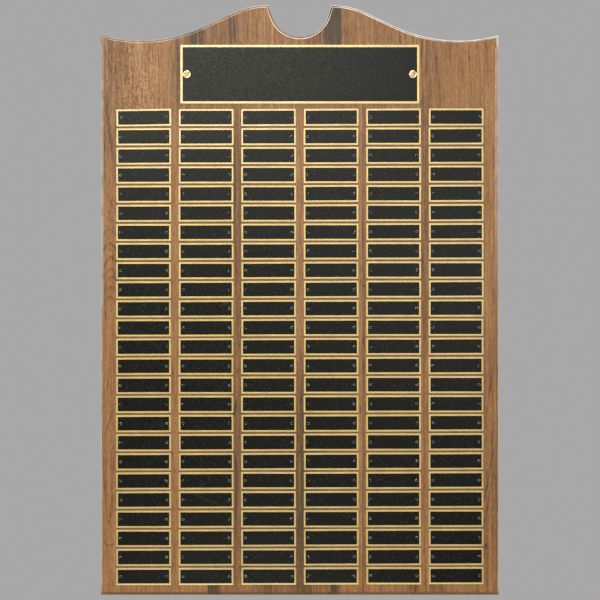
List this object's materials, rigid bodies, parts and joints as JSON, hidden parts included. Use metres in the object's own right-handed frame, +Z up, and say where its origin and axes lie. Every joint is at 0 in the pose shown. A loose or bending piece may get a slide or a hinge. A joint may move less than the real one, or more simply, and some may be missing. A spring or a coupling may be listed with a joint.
{
  "type": "roster plaque",
  "caption": "Tall walnut roster plaque with a crowned, notched top, a blank header plate in cup washers, and a grid of blank name plates; hangs on keyhole hangers.",
  "frame": {"origin": "the middle of the board's back face, which lies against the wall", "axes": "+Y points out of the back, into the wall; the plates face -Y; +Z is up along the plaque; +X is to the right seen from the front"},
  "size_m": [0.61, 0.0232, 0.9046],
  "materials": {
    "walnut": "satin lacquered walnut, vertical grain with dark streaks",
    "black_coated_brass": "brass sheet, satin black coat inside a bare brass border",
    "bare_brass": "satin brass",
    "zinc_plated_steel": "zinc plated"
  },
  "bodies": {
    "root": {"stave_1": "walnut", "stave_2": "walnut", "stave_3": "walnut", "stave_4": "walnut", "stave_5": "walnut", "header_plate": "black_coated_brass", "name_plate_r1_c1": "black_coated_brass", "name_plate_r1_c2": "black_coated_brass", "name_plate_r1_c3": "black_coated_brass", "name_plate_r1_c4": "black_coated_brass", "name_plate_r1_c5": "black_coated_brass", "name_plate_r1_c6": "black_coated_brass", "name_plate_r2_c1": "black_coated_brass", "name_plate_r2_c2": "black_coated_brass", "name_plate_r2_c3": "black_coated_brass", "name_plate_r2_c4": "black_coated_brass", "name_plate_r2_c5": "black_coated_brass", "name_plate_r2_c6": "black_coated_brass", "name_plate_r3_c1": "black_coated_brass", "name_plate_r3_c2": "black_coated_brass", "name_plate_r3_c3": "black_coated_brass", "name_plate_r3_c4": "black_coated_brass", "name_plate_r3_c5": "black_coated_brass", "name_plate_r3_c6": "black_coated_brass", "name_plate_r4_c1": "black_coated_brass", "name_plate_r4_c2": "black_coated_brass", "name_plate_r4_c3": "black_coated_brass", "name_plate_r4_c4": "black_coated_brass", "name_plate_r4_c5": "black_coated_brass", "name_plate_r4_c6": "black_coated_brass", "name_plate_r5_c1": "black_coated_brass", "name_plate_r5_c2": "black_coated_brass", "name_plate_r5_c3": "black_coated_brass", "name_plate_r5_c4": "black_coated_brass", "name_plate_r5_c5": "black_coated_brass", "name_plate_r5_c6": "black_coated_brass", "name_plate_r6_c1": "black_coated_brass", "name_plate_r6_c2": "black_coated_brass", "name_plate_r6_c3": "black_coated_brass", "name_plate_r6_c4": "black_coated_brass", "name_plate_r6_c5": "black_coated_brass", "name_plate_r6_c6": "black_coated_brass", "name_plate_r7_c1": "black_coated_brass", "name_plate_r7_c2": "black_coated_brass", "name_plate_r7_c3": "black_coated_brass", "name_plate_r7_c4": "black_coated_brass", "name_plate_r7_c5": "black_coated_brass", "name_plate_r7_c6": "black_coated_brass", "cup_washer_left": "bare_brass", "cup_washer_right": "bare_brass", "header_screw_left": "bare_brass", "header_screw_right": "bare_brass", "keyhole_hanger_left": "zinc_plated_steel", "keyhole_hanger_right": "zinc_plated_steel", "hanger_screw_left_lower": "zinc_plated_steel", "hanger_screw_left_upper": "zinc_plated_steel", "hanger_screw_right_lower": "zinc_plated_steel", "hanger_screw_right_upper": "zinc_plated_steel"}
  },
  "joints": []
}
